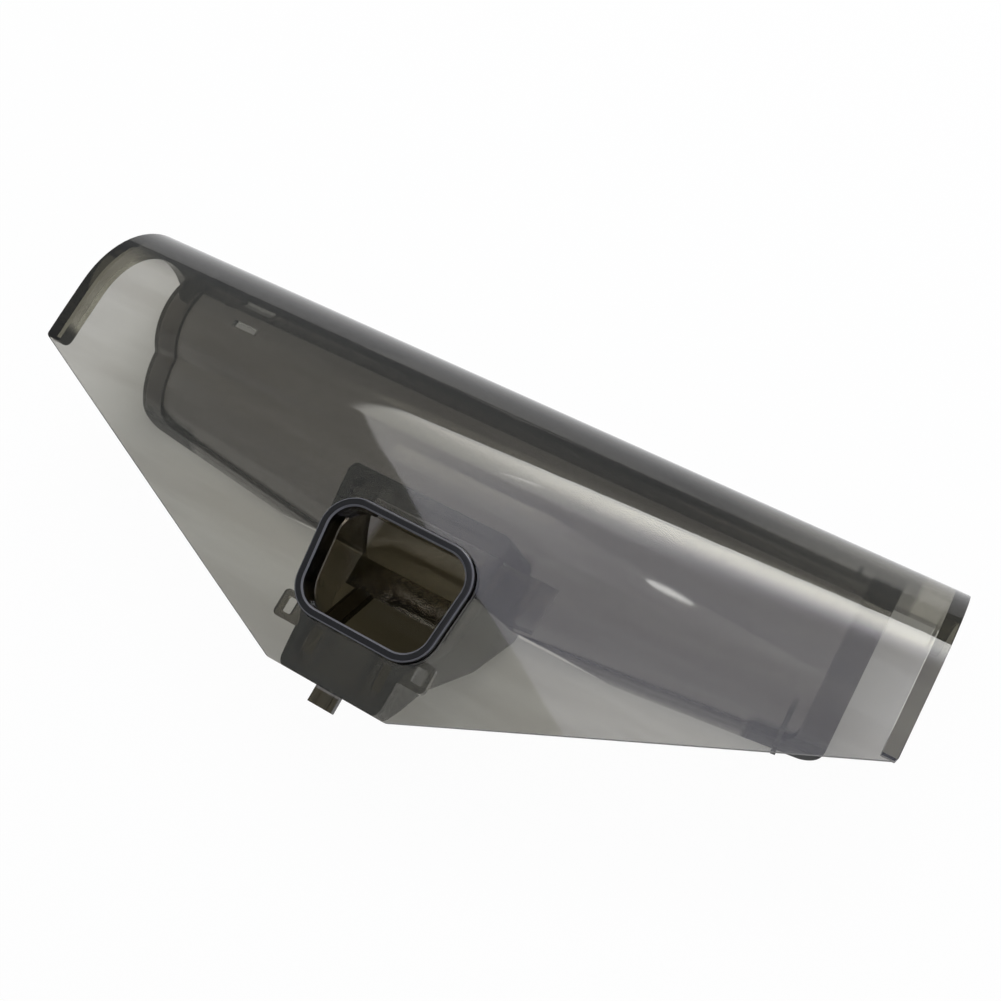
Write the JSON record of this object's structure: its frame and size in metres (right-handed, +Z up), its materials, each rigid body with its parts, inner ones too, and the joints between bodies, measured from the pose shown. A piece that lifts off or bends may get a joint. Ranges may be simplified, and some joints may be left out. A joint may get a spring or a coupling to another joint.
{
  "type": "vacuum brush cover",
  "caption": "Smoked see-through brush cover for a vacuum floor head: an arched shell over a brush chamber whose wings lead to a suction neck with a black port seal",
  "frame": {"origin": "middle of the front lip's bottom face, on the plane that the cover stands on", "axes": "X along the brush, +Y towards the front lip, +Z up"},
  "size_m": [0.28, 0.1123, 0.0506],
  "materials": {
    "smoked_shell": "polished smoked grey transparent plastic",
    "smoked_duct": "smooth smoked brown-grey transparent plastic",
    "black_seal": "glossy black moulded seal"
  },
  "bodies": {
    "root": {"cover_shell": "smoked_shell", "brush_duct": "smoked_duct", "port_seal": "black_seal"}
  },
  "joints": []
}
